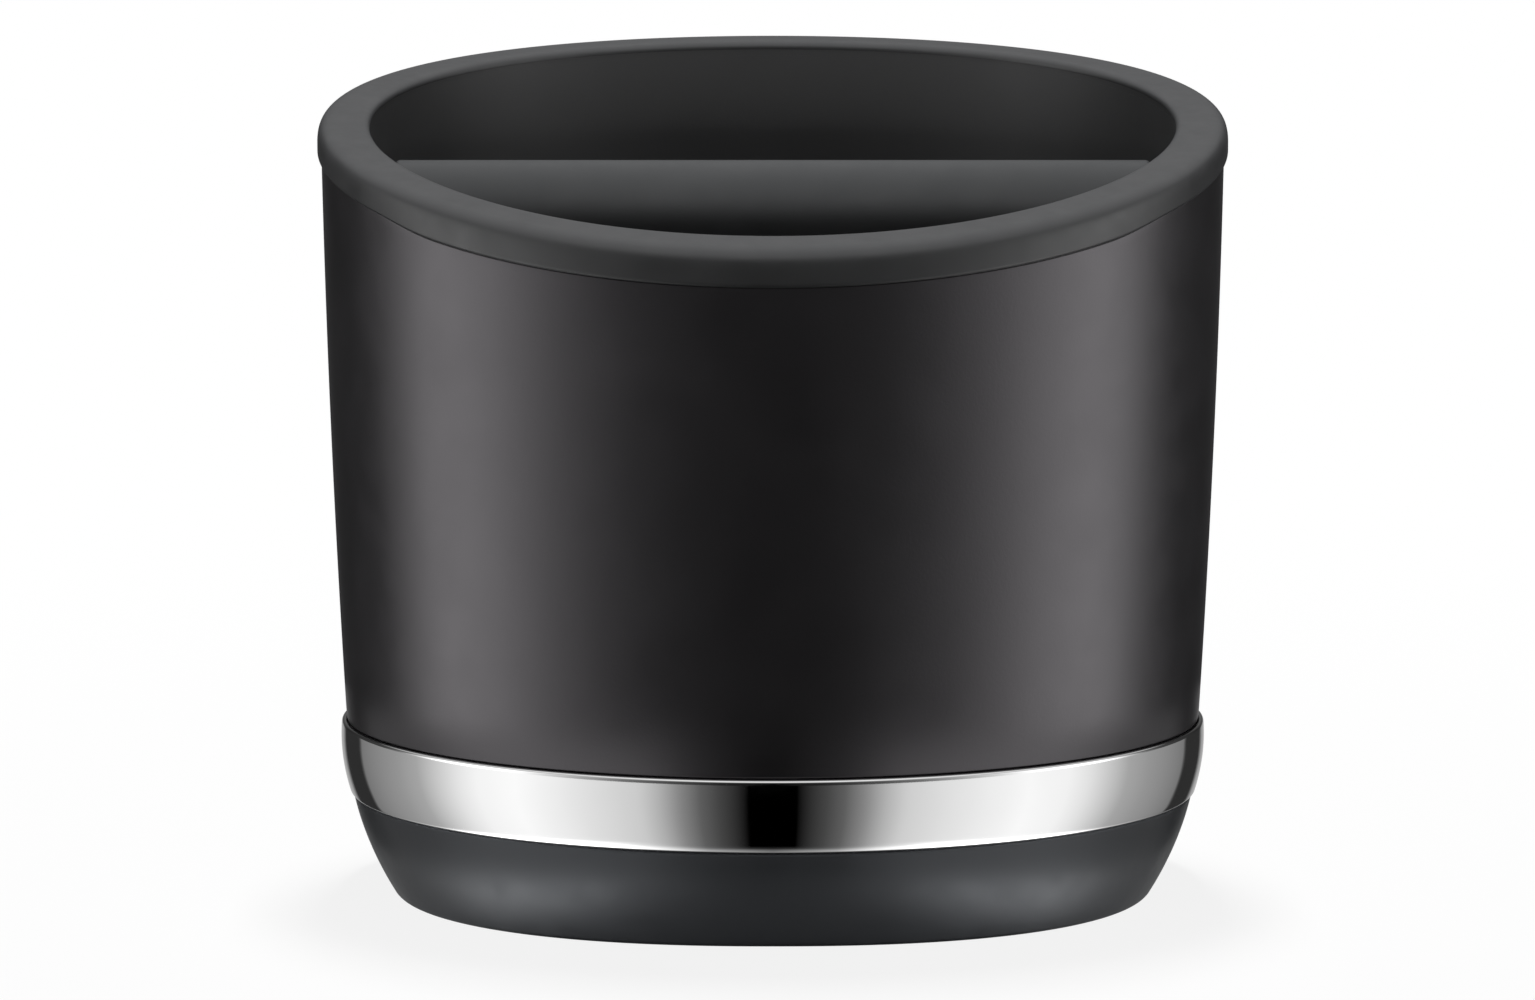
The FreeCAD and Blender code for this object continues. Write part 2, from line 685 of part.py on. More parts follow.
def make_liner(above_flange, above_neck):
    """The bucket, with a flange over the housing's top edge and bosses under its floor."""
    outside = rounded(
        "liner_outside",
        liner_form("liner_outer_form", "liner_wall", LINER_UNDERSIDE),
        (
            "liner_corner_round + liner_wall",
            at_level(f"{LINER_FLOOR_WIDTH} + liner_wall", LINER_UNDERSIDE),
        ),
    )
    hollow = rounded(
        "liner_hollow",
        liner_form("liner_inner_form", GROUND, "liner_floor_height"),
        ("liner_corner_round", at_level(LINER_FLOOR_WIDTH, "liner_floor_height")),
    )
    flange = common(
        "liner_flange", oval_column("liner_flange_disc", UPPER_NECK, GROUND, SKY), above_neck
    )
    seat_radius = f"{SPOTFACE_RADIUS} + fixing_seat_wall"
    seat_start = f"{FIXING_SEAT} - ( {seat_radius} ) - liner_wall"
    boss_top = "liner_floor_height - liner_wall / 2"
    boss_radius = "screw_radius + liner_boss_wall"
    added = (
        flange,
        at_fixings("liner_seats", rod, seat_radius, seat_start, FIXING_SEAT),
        at_screws("liner_bosses", rod, boss_radius, PAN_BOSS_TOP, boss_top),
    )
    removed = (
        hollow,
        above_flange,
        at_fixings("liner_spotfaces", rod, SPOTFACE_RADIUS, FIXING_SEAT, "rim_half_width"),
        at_fixings("liner_fixing_holes", rod, "fixing_radius + thread_slack", GROUND, FIXING_SEAT),
        at_screws(
            "liner_screw_holes",
            rod,
            "screw_radius + thread_slack",
            GROUND,
            f"{HEAD_SEAT} + screw_length + screw_tip_gap",
        ),
    )
    liner = outside
    for extra in added:
        liner = fuse(f"liner_with_{extra.Name}", liner, extra)
    for gone in removed[:-1]:
        liner = cut(f"liner_less_{gone.Name}", liner, gone)
    return cut("inner_liner", liner, removed[-1])


def make_base_screws():
    """Four cap screws, heads down in the pan's recesses."""
    head_foot = "boot_floor + screw_head_gap"
    head = rod("screw_head", "screw_head_radius", head_foot, HEAD_SEAT)
    shank = rod("screw_shank", "screw_radius", head_foot, f"{HEAD_SEAT} + screw_length")
    socket = hexagon("screw_socket", "screw_drive_radius", GROUND, f"{head_foot} + screw_drive_depth")
    screw = cut("screw_shape", fuse("screw_blank", head, shank), socket)
    return four_way("base_screws", placed("screw", screw, x=SCREW_X, y=SCREW_Y))


def make_saddle_screws():
    """Four short screws through the liner's wall into the saddles."""
    top = f"{FIXING_SEAT} + fixing_head_height"
    head = rod("fixing_head", "fixing_head_radius", FIXING_SEAT, top)
    shank = rod("fixing_shank", "fixing_radius", f"{FIXING_SEAT} - fixing_length", top)
    socket = hexagon("fixing_socket", "fixing_drive_radius", f"{top} - fixing_drive_depth", SKY)
    screw = cut("fixing_shape", fuse("fixing_blank", head, shank), socket)
    item = placed("fixing", screw, turned=True, y=FIXING_Y, z=FIXING_HEIGHT)
    return four_way("saddle_screws", item)


# --- Knock bar and its saddles -----------------------------------------------------------


def make_bar_tube(name, radius, bore, end_round=None):
    """A tube along X from end to end of the knock bar."""
    body = doc.addObject("PartDesign::Body", name)
    sketch = side_sketch(body, f"{name}_ring")
    draw_circle(sketch, radius)
    draw_circle(sketch, bore)
    tube = pad(body, f"{name}_tube", sketch, f"2 * ( {BAR_END} )", symmetric=True)
    if end_round:
        doc.recompute()
        rims = [
            f"Edge{number}"
            for number, edge in enumerate(tube.Shape.Edges, start=1)
            if hasattr(edge.Curve, "Radius") and abs(edge.Curve.Radius - value(radius)) < ON_LEVEL
        ]
        fillet = body.newObject("PartDesign::Fillet", f"{name}_round")
        fillet.Base = (tube, rims)
        bind(fillet, Radius=end_round)
    return body


def make_plug():
    """The right end plug: a flange, a spigot in the tube and a key that stops it turning."""
    body = doc.addObject("PartDesign::Body", "bar_plug_right")
    flange = side_sketch(body, "plug_flange_circle", along=BAR_END)
    draw_circle(flange, "bar_radius - plug_step")
    pad(body, "plug_flange_pad", flange, "plug_flange")
    spigot = side_sketch(body, "plug_spigot_circle", along=BAR_END)
    draw_circle(spigot, f"{CORE_BORE} - plug_fit")
    pad(body, "plug_spigot_pad", spigot, "plug_spigot", reverse=True)
    key = side_sketch(body, "plug_key_outline", along=BAR_END)
    draw_key(key)
    pad(body, "plug_key_pad", key, "plug_flange")
    return body


def make_pad():
    """The rubber pad that lines the right saddle."""
    body = doc.addObject("PartDesign::Body", "saddle_pad_right")
    outline = side_sketch(body, "pad_outline", along=PAD_START)
    draw_cradle(outline, SLOT_RADIUS)
    pad(body, "pad_block", outline, "pad_length")
    groove = side_sketch(body, "pad_groove_outline", along=PAD_START)
    draw_cradle(groove, PAD_RADIUS)
    pocket_ahead(body, "pad_groove", groove, "pad_length + margin")
    return body


def make_saddle():
    """The right saddle: a U block on the liner's wall, open upwards, with a slot for the key.

    Its back is trimmed to the liner's form. The form's seam lies at its +X end, so it is turned
    round to leave the seam away from this saddle.
    """
    reach = f"{LINER_MOUTH_WIDTH} - ( {SADDLE_START} )"
    body = doc.addObject("PartDesign::Body", "saddle_block")
    outline = side_sketch(body, "saddle_outline", along=SADDLE_START)
    draw_cradle(outline, SADDLE_RADIUS)
    pad(body, "saddle_pad", outline, reach)
    slot = side_sketch(body, "saddle_slot_outline", along=SADDLE_START)
    draw_cradle(slot, SLOT_RADIUS)
    pocket_ahead(body, "saddle_slot", slot, f"{reach} + margin")
    key = side_sketch(body, "saddle_key_outline", along=f"{BAR_END} - key_slack")
    draw_key(key, "key_slack")
    pocket_ahead(body, "saddle_key_slot", key, "plug_flange + margin")
    hole_start = f"{FIXING_SEAT} - fixing_length - thread_slack"
    holes = side_sketch(body, "saddle_hole_circles", along=hole_start)
    draw_twin_circles(holes, "fixing_radius + thread_slack", FIXING_Y, FIXING_HEIGHT)
    pocket_ahead(body, "saddle_holes", holes, "fixing_length + margin")
    form = liner_form("saddle_fit_form", "0 - saddle_fit", "liner_floor_height")
    return common("saddle_right", body, mirrored("saddle_fit_form_turned", form, x=1))


def make_pieces():
    """Every physical piece, each an object whose Label names its file."""
    above_flange = above_mouth("above_flange", "rim_cap")
    above_neck = above_mouth("above_neck", NECK_DROP)
    above_shoulder = above_mouth("above_shoulder", "rim_height")
    boot, pan = make_boot_and_pan()
    plug, saddle, saddle_pad = make_plug(), make_saddle(), make_pad()
    return [
        make_rim(above_flange, above_shoulder),
        make_housing(above_neck, above_shoulder),
        make_liner(above_flange, above_neck),
        make_band(),
        boot,
        pan,
        make_seal(),
        make_base_screws(),
        make_bar_tube("bar_core", CORE_RADIUS, CORE_BORE),
        make_bar_tube("bar_sleeve", "bar_radius", CORE_RADIUS, "bar_end_round"),
        plug,
        mirrored("bar_plug_left", plug, x=1),
        saddle,
        mirrored("saddle_left", saddle, x=1),
        saddle_pad,
        mirrored("saddle_pad_left", saddle_pad, x=1),
        make_saddle_screws(),
    ]


def check(pieces):
    """Stop if anything failed to build."""
    failed = [item.Name for item in doc.Objects if {"Invalid", "Error"} & set(item.State)]
    if failed:
        raise RuntimeError(f"these objects failed: {failed}")
    for piece in pieces:
        if piece.Shape.isNull() or not piece.Shape.isValid() or not piece.Shape.Solids:
            raise RuntimeError(f"{piece.Label} has no valid solid")


def main():
    pieces = make_pieces()
    doc.recompute()
    check(pieces)
    os.makedirs("parts", exist_ok=True)
    for piece in pieces:
        box = piece.Shape.optimalBoundingBox(False)
        print(
            f"{piece.Label}: {len(piece.Shape.Solids)} solids, {piece.Shape.Volume:.1f} mm3,"
            f" x {box.XMin:.2f}..{box.XMax:.2f} y {box.YMin:.2f}..{box.YMax:.2f}"
            f" z {box.ZMin:.2f}..{box.ZMax:.2f}"
        )
        piece.Shape.exportStep(f"parts/{piece.Label}.step")


main()
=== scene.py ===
"""The looks of the espresso knock box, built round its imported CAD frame.

Axes are the frame's: +X to the right along the knock bar, -Y towards the user at the low side of
the mouth, +Z up. Shapes are worked out in millimetres and turned into metres as a mesh is made.
"""

import json
import math

import bmesh
import bpy
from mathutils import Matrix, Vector
from mathutils.geometry import interpolate_bezier


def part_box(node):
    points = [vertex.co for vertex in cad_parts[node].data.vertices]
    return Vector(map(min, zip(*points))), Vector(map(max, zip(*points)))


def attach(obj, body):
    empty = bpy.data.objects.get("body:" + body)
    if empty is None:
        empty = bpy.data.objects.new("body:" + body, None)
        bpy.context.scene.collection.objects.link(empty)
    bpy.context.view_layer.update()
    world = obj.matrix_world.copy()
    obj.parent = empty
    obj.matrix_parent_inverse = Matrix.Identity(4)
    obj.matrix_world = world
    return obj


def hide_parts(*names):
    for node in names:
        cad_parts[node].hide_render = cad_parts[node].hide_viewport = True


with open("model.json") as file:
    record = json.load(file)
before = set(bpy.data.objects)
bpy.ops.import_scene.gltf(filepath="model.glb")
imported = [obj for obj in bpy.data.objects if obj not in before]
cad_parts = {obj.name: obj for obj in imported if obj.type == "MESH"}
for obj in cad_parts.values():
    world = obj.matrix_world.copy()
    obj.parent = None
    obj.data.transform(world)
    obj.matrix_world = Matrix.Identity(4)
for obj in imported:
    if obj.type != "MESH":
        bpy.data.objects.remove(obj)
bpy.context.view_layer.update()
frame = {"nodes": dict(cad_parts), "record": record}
MM = 0.001


def cad_box(node):
    """Lowest and highest corner of a CAD node, in millimetres."""
    low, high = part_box(node)
    return low / MM, high / MM


# --- Sizes, in millimetres ---------------------------------------------------------------

RIM_HIGH = cad_box("rim_bead")[1]
BAND_LOW = cad_box("steel_band")[0]
SLEEVE_LOW, SLEEVE_HIGH = cad_box("bar_sleeve")

# The plan is an oval at every level: the half depth is less than the half width by this step.
OVAL_STEP = 6.5

# The mouth's curve: a short straight ramp at the front, and then a long arc to the back.
MOUTH_FRONT_HEIGHT = 105.3
MOUTH_FRONT = -RIM_HIGH.y
MOUTH_RAMP = math.radians(14.1)
MOUTH_KNEE = -45.0
MOUTH_ARC = 660.0

# Rim bead: a cap over the tops of the liner and the housing, with a lip down its outside. Its two
# curves are the knots and handles of its inner edge and its outer shoulder, as (across, up) from
# each top corner. Behind the front, the part below the cap is shorter by the share of the ease.
RIM_INNER = 62.0
RIM_GROOVE = 68.25
RIM_CAP = 2.3
RIM_HEIGHT = 5.5
RIM_INNER_CURVE = ((0.0, -1.1), (0.0, -0.4), (0.55, 0.0), (2.0, 0.0))
RIM_SHOULDER = ((-2.9, 0.0), (-0.8, 0.0), (0.0, -0.55), (0.0, -2.9))
RIM_CURVE_STEPS = 20
RIM_LIP_DROP = 1.25
RIM_LIP_STEP = 1.4
RIM_LOWER_ROUND = 0.9
RIM_SMALL_ROUND = 0.2
LIP_EASE = 0.19
LIP_EASE_FROM = -43.0
LIP_EASE_TO = -33.0

# Liner: half widths of its inner wall at its floor and above the mouth, and its thin top edge.
LINER_LEVELS = ((18.0, 59.5), (135.0, 62.9))
LINER_EDGE_WALL = 0.6
LINER_EDGE_GAP = 0.02
LINER_EDGE_SINK = 0.05

# Housing: half widths at three heights, from its foot to above the mouth. Its upper neck goes up
# under the rim's lip, and its lower neck and foot flange lie inside the band.
HOUSING_LEVELS = ((26.5, 66.15), (78.0, 68.5), (130.0, 69.65))
HOUSING_WALL = 2.5
HOUSING_NECK = 68.15
HOUSING_NECK_DROP = 4.85
HOUSING_TOP_ROUND = 0.3
HOUSING_FOOT_ROUND = 0.45
HOUSING_FOOT_SEAM = 0.02
HOUSING_FLANGE = 2.2
HOUSING_ROWS = 72

# Steel band: half widths at three heights, and the turned-in lower edge.
BAND_LEVELS = ((15.25, 65.6), (20.25, 66.75), (26.5, 66.9))
BAND_PROUD = 0.75
BAND_FIT = 0.1
BAND_GAUGE = 0.8
BAND_FLANGE = 4.8
BAND_ROUND = 0.5
BAND_INNER_ROUND = 0.25
BAND_ROWS = 24

# Boot: half widths, and the step from half width to half depth, at three heights. Towards the
# foot the oval's curve has a higher power than 2, by up to the squareness. Its flat floor is
# closed inside the half width of the centre.
BOOT_LEVELS = ((0.0, 58.6), (8.0, 62.9), (15.1, 65.2))
BOOT_STEPS = ((0.0, 5.6), (8.0, 6.0), (15.1, 6.5))
BOOT_SQUARENESS = 0.27
BOOT_WALL = 2.4
BOOT_FLOOR = 2.5
BOOT_FOOT_ROUND = 1.5
BOOT_TOP_ROUND = 0.35
BOOT_CENTRE = 12.0
BOOT_ROWS = 28
TREAD_WIDTH = 9.0
TREAD_DEPTH = 0.8
TREAD_RIBS = 5
TREAD_GROOVE_DEPTH = 0.35
TREAD_GROOVE_SHARE = 0.4
TREAD_GROOVE_SLOPE = 0.12

# Knock bar's sleeve.
BAR_RADIUS = SLEEVE_HIGH.y
BAR_HEIGHT = SLEEVE_HIGH.z - BAR_RADIUS
BAR_BORE = 7.0
BAR_END_ROUND = 0.8

# How finely the pieces are divided, and the angle from which an edge is sharp. A point on a wall
# under the mouth is found in a few tries, because its height and its depth hang together.
SEGMENTS = 360
BAR_SEGMENTS = 128
ROUND_STEPS = 8
WALL_TRIES = 4
SHARP_ANGLE = math.radians(32)


def mouth_height(y):
    """Height of the rim's top at a depth y."""
    knee_height = MOUTH_FRONT_HEIGHT + (MOUTH_KNEE - MOUTH_FRONT) * math.tan(MOUTH_RAMP)
    if y <= MOUTH_KNEE:
        return knee_height - (MOUTH_KNEE - y) * math.tan(MOUTH_RAMP)
    centre_y = MOUTH_KNEE + MOUTH_ARC * math.sin(MOUTH_RAMP)
    centre_z = knee_height - MOUTH_ARC * math.cos(MOUTH_RAMP)
    return centre_z + math.sqrt(MOUTH_ARC**2 - (y - centre_y) ** 2)


def smooth(value, low, high):
    """0 below low, 1 above high, and a soft step between them."""
    share = min(1.0, max(0.0, (value - low) / (high - low)))
    return share * share * (3 - 2 * share)


def through(levels, height):
    """The value at a height on the parabola through three (height, value) levels."""
    total = 0.0
    for at, number in levels:
        others = [other for other, _ in levels if other != at]
        share = math.prod((height - other) / (at - other) for other in others)
        total += number * share
    return total


# --- Outlines and rings ------------------------------------------------------------------


def spread(start, end, steps):
    """Evenly spaced numbers from start to end, both included."""
    return [start + (end - start) * step / steps for step in range(steps + 1)]


def rounded(corners):
    """A closed outline from (across, up, radius) corners, with each corner rounded."""
    points = []
    for before, corner, after in zip(corners[-1:] + corners[:-1], corners, corners[1:] + corners[:1]):
        place, radius = Vector(corner[:2]), corner[2]
        if not radius:
            points.append(place)
            continue
        back = (Vector(before[:2]) - place).normalized()
        ahead = (Vector(after[:2]) - place).normalized()
        half = back.angle(ahead) / 2
        centre = place + (back + ahead).normalized() * (radius / math.sin(half))
        first = place + back * (radius / math.tan(half)) - centre
        last = place + ahead * (radius / math.tan(half)) - centre
        sweep = first.angle(last)
        for share in spread(0, 1, ROUND_STEPS):
            arm = first * math.sin((1 - share) * sweep) + last * math.sin(share * sweep)
            points.append(centre + arm / math.sin(sweep))
    return points


def turns(count):
    """Evenly spaced angles, once round."""
    return [2 * math.pi * step / count for step in range(count)]


def oval(width, height):
    """A ring of points at one height."""
    depth = width - OVAL_STEP
    return [(width * math.cos(turn), depth * math.sin(turn), height) for turn in turns(SEGMENTS)]


def below_mouth(y, drop):
    """Height at a drop below the mouth's curve, with the part below the cap eased."""
    eased = LIP_EASE * smooth(y, LIP_EASE_FROM, LIP_EASE_TO)
    return mouth_height(y) - drop + eased * max(0.0, drop - RIM_CAP)


def mouth_oval(width, drop):
    """A ring of points that follows the mouth's curve, a drop below it."""
    return [(x, y, below_mouth(y, drop)) for x, y, _ in oval(width, 0)]


def wall_oval(width_at, low, share, drop):
    """A ring part of the way up a wall, from a level to a drop below the mouth's curve."""
    ring = []
    for turn in turns(SEGMENTS):
        height = low
        for _ in range(WALL_TRIES):
            width = width_at(height)
            y = (width - OVAL_STEP) * math.sin(turn)
            height = low + share * (below_mouth(y, drop) - low)
        ring.append((width * math.cos(turn), y, height))
    return ring


# --- Meshes ------------------------------------------------------------------------------


def make_mesh(name, points, faces):
    """An object from points in millimetres, smooth apart from its sharp edges."""
    mesh = bpy.data.meshes.new(name)
    mesh.from_pydata([[number * MM for number in point] for point in points], [], faces)
    work = bmesh.new()
    work.from_mesh(mesh)
    bmesh.ops.recalc_face_normals(work, faces=work.faces)
    work.to_mesh(mesh)
    work.free()
    mesh.shade_smooth()
    mesh.set_sharp_from_angle(angle=SHARP_ANGLE)
    mesh.validate()
    item = bpy.data.objects.new(name, mesh)
    bpy.context.scene.collection.objects.link(item)
    return item


def loft(name, rings, closed=True):
    """A skin over rings of equal length: closed into a tube, or capped at its first and last ring."""
    count = len(rings[0])
    points = [point for ring in rings for point in ring]
    rows = list(zip(range(len(rings)), range(1, len(rings))))
    if closed:
        rows.append((len(rings) - 1, 0))
    faces = [
        (low * count + k, low * count + (k + 1) % count, high * count + (k + 1) % count, high * count + k)
        for low, high in rows
        for k in range(count)
    ]
    if not closed:
        for row in (0, len(rings) - 1):
            centre = len(points)
            points.append(tuple(sum(axis) / count for axis in zip(*rings[row])))
            first = row * count
            faces += [(centre, first + k, first + (k + 1) % count) for k in range(count)]
    return make_mesh(name, points, faces)


def finish_piece(item, body, slot, materials, *nodes):
    """Give a piece its material and its body, and put it in the place of the CAD nodes named."""
    item.data.materials.append(materials[slot])
    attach(item, body)
    if nodes:
        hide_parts(*nodes)


# --- The pieces that are made here -------------------------------------------------------


def rim_curve(side, knots):
    """Corners along a Bezier curve, whose knots and handles are measured from a top corner."""
    first, *handles, last = [Vector((side + across, up)) for across, up in knots]
    return [(point.x, point.y, 0) for point in interpolate_bezier(first, *handles, last, RIM_CURVE_STEPS)]


def make_rim():
    """The soft bead over the mouth: a rounded cap with a lip down its outside."""
    outline = rounded([
        (RIM_INNER + RIM_LIP_STEP, -RIM_CAP, 0),
        (RIM_INNER + RIM_LIP_STEP, -RIM_LIP_DROP, RIM_SMALL_ROUND),
        (RIM_INNER, -RIM_LIP_DROP, 0),
        *rim_curve(RIM_INNER, RIM_INNER_CURVE),
        *rim_curve(RIM_HIGH.x, RIM_SHOULDER),
        (RIM_HIGH.x, -RIM_HEIGHT, RIM_LOWER_ROUND),
        (RIM_GROOVE, -RIM_HEIGHT, RIM_SMALL_ROUND),
        (RIM_GROOVE, -RIM_CAP, RIM_SMALL_ROUND),
    ])
    return loft("soft_rim", [mouth_oval(width, -up) for width, up in outline])


def liner_inside(height):
    """Half width of the liner's inner wall."""
    return through(LINER_LEVELS, height)


def liner_edge_outside(height):
    """Half width of the outside of the liner's thin top edge."""
    return liner_inside(height) + LINER_EDGE_WALL


def make_liner_edge():
    """The liner's top edge: a thin wall from its flange up under the bead's inner lip."""
    floor = LINER_LEVELS[0][0]
    low, high = RIM_CAP + LINER_EDGE_SINK, RIM_LIP_DROP + LINER_EDGE_GAP
    return loft("liner_edge", [
        wall_oval(liner_inside, floor, 1, low),
        wall_oval(liner_inside, floor, 1, high),
        wall_oval(liner_edge_outside, floor, 1, high),
        wall_oval(liner_edge_outside, floor, 1, low),
    ])


def housing_outside(height):
    """Half width of the shell's outer face."""
    return through(HOUSING_LEVELS, height)


def housing_inside(height):
    """Half width of the shell's inner face."""
    return housing_outside(height) - HOUSING_WALL


def housing_foot(foot):
    """Rings from the foot's flange up behind the band, and out round the shell's lower corner."""
    foot_width = housing_outside(foot)
    neck = foot_width + BAND_PROUD - BAND_GAUGE - BAND_FIT
    low_neck = BAND_LEVELS[0][1] - BAND_GAUGE - BAND_FIT
    low = BAND_LOW.z + BAND_GAUGE
    rings = [oval(low_neck - HOUSING_FLANGE, low), oval(low_neck, low)]
    rings += [oval(neck - BAND_FIT, BAND_LEVELS[1][0]), oval(neck, foot - HOUSING_FOOT_SEAM)]
    for angle in spread(-math.pi / 2, 0, ROUND_STEPS):
        width = foot_width - HOUSING_FOOT_ROUND * (1 - math.cos(angle))
        rings.append(oval(width, foot + HOUSING_FOOT_ROUND * (1 + math.sin(angle))))
    return rings


def housing_wall(start):
    """Rings up the shell's outer face, and in round its upper corner to the rim's neck."""
    stop = RIM_HEIGHT + HOUSING_TOP_ROUND
    rings = [wall_oval(housing_outside, start, share, stop) for share in spread(0, 1, HOUSING_ROWS)[1:]]
    for angle in spread(0, math.pi / 2, ROUND_STEPS)[1:]:
        inset = HOUSING_TOP_ROUND * (1 - math.cos(angle))
        drop = stop - HOUSING_TOP_ROUND * math.sin(angle)
        rings.append(wall_oval(lambda height: housing_outside(height) - inset, start, 1, drop))
    return rings + [mouth_oval(HOUSING_NECK, RIM_HEIGHT), mouth_oval(HOUSING_NECK, HOUSING_NECK_DROP)]


def make_housing():
    """The moulded shell, with a neck under the rim's lip and another behind the band."""
    foot = HOUSING_LEVELS[0][0]
    rings = housing_foot(foot) + housing_wall(foot + HOUSING_FOOT_ROUND)
    for share in spread(1, 0, HOUSING_ROWS):
        rings.append(wall_oval(housing_inside, foot, share, HOUSING_NECK_DROP))
    return loft("housing_shell", rings)


def make_band():
    """The trim band: pressed sheet with a rolled top edge and a flange turned in at its foot."""
    heights = spread(BAND_LEVELS[0][0] + BAND_ROUND, BAND_LEVELS[2][0] - BAND_ROUND, BAND_ROWS)
    outer = [(through(BAND_LEVELS, height), height) for height in heights]
    top_width, top = through(BAND_LEVELS, BAND_LEVELS[2][0]), BAND_LEVELS[2][0]
    foot_width, foot = BAND_LEVELS[0][1], BAND_LEVELS[0][0]
    inside = foot_width - BAND_FLANGE
    corners = [(foot_width, foot, BAND_ROUND)]
    corners += [(width, height, 0) for width, height in outer[1:-1]]
    corners += [(top_width, top, BAND_ROUND), (top_width - BAND_GAUGE, top, BAND_INNER_ROUND)]
    corners += [(width - BAND_GAUGE, height, 0) for width, height in reversed(outer[2:-1])]
    corners += [(foot_width - BAND_GAUGE, foot + BAND_GAUGE, BAND_INNER_ROUND)]
    corners += [(inside, foot + BAND_GAUGE, BAND_INNER_ROUND), (inside, foot, BAND_INNER_ROUND)]
    return loft("trim_band", [oval(width, height) for width, height in rounded(corners)])


def boot_oval(width, height):
    """A ring of the boot, whose plan is an oval at the top and a little squarer at the foot."""
    squareness = BOOT_SQUARENESS * (1 - height / BOOT_LEVELS[2][0])
    power = 2 / (2 + squareness)
    depth = width - through(BOOT_STEPS, height)
    ring = []
    for turn in turns(SEGMENTS):
        across, along = math.cos(turn), math.sin(turn)
        x = width * math.copysign(abs(across) ** power, across)
        y = depth * math.copysign(abs(along) ** power, along)
        ring.append((x, y, height))
    return ring


def tread_corners(hollow):
    """Corners of the tread's ribs and the grooves between them, from the hollow outwards."""
    pitch = (TREAD_WIDTH - BOOT_FOOT_ROUND) / TREAD_RIBS
    rib_width = pitch * (1 - TREAD_GROOVE_SHARE)
    slope = pitch * TREAD_GROOVE_SLOPE
    corners = []
    for rib in range(TREAD_RIBS):
        start = hollow + rib * pitch
        corners += [(start, 0, 0), (start + rib_width, 0, 0)]
        if rib < TREAD_RIBS - 1:
            corners.append((start + rib_width + slope, TREAD_GROOVE_DEPTH, 0))
            corners.append((start + pitch - slope, TREAD_GROOVE_DEPTH, 0))
    return corners


def make_boot():
    """The soft non-slip base: a bowl with a ribbed tread ring under it."""
    foot_width = BOOT_LEVELS[0][1]
    top, top_width = BOOT_LEVELS[2]
    hollow = foot_width - TREAD_WIDTH
    corners = [(BOOT_CENTRE, TREAD_DEPTH, 0), (hollow, TREAD_DEPTH, 0), *tread_corners(hollow)]
    corners.append((foot_width, 0, BOOT_FOOT_ROUND))
    wall = spread(BOOT_FOOT_ROUND, top, BOOT_ROWS)
    corners += [(through(BOOT_LEVELS, height), height, 0) for height in wall[1:-1]]
    corners += [(top_width, top, BOOT_TOP_ROUND), (top_width - BOOT_WALL, top, BOOT_TOP_ROUND)]
    inner = spread(top, BOOT_FLOOR, BOOT_ROWS // 2)
    corners += [(through(BOOT_LEVELS, height) - BOOT_WALL, height, 0) for height in inner[1:]]
    corners.append((BOOT_CENTRE, BOOT_FLOOR, 0))
    rings = [boot_oval(width, height) for width, height in rounded(corners)]
    return loft("soft_base", rings, closed=False)


def make_sleeve():
    """The padded bar: a soft tube along X with rounded ends."""
    corners = rounded([
        (SLEEVE_LOW.x, BAR_BORE, 0),
        (SLEEVE_LOW.x, BAR_RADIUS, BAR_END_ROUND),
        (SLEEVE_HIGH.x, BAR_RADIUS, BAR_END_ROUND),
        (SLEEVE_HIGH.x, BAR_BORE, 0),
    ])
    rings = [
        [(x, radius * math.cos(turn), BAR_HEIGHT + radius * math.sin(turn)) for turn in turns(BAR_SEGMENTS)]
        for x, radius in corners
    ]
    return loft("padded_bar", rings)


# --- Materials ---------------------------------------------------------------------------

# Every finish has clouds of colour and a pattern of gloss, given by their sizes in millimetres,
# and how far the gloss changes the roughness either way. Its bumps are (size, height).
MOULDED_CLOUDS = 22
MOULDED_GLOSS = 9
MOULDED_GLOSS_CHANGE = 0.03
MOULDED_WAVES = (6, 0.01)
MOULDED_GRAIN = (0.45, 0.012)
RUBBER_CLOUDS = 14
RUBBER_GLOSS = 5
RUBBER_GLOSS_CHANGE = 0.05
RUBBER_WAVES = (8, 0.015)
RUBBER_GRAIN = (0.35, 0.008)
PLATED_CLOUDS = 3
PLATED_GLOSS = 1.2
PLATED_GLOSS_CHANGE = 0.06
PLATED_MARKS = (0.25, 0.004)
PLATED_DARKER = 0.85
POLISHED_CLOUDS = 30
POLISHED_SHADES = ((0.8, 0.8, 0.8), (0.86, 0.86, 0.86))
POLISHED_SMEARS = 7
POLISHED_ROUGHNESS = (0.03, 0.05, 0.08)
POLISHED_HAIRLINES = (0.3, 0.0003)
ALONG_THE_BAND = (60, 60, 1)
ALONG_THE_TUBE = (40, 1, 1)

# Noise: how many levels of detail, how strong they are, and the middle part of its range that
# nearly all of it lies in.
FEW_LEVELS = 2.0
SOME_LEVELS = 3.0
MANY_LEVELS = 5.0
LEVEL_STRENGTH = 0.55
NOISE_LOW = 0.3
NOISE_HIGH = 0.7


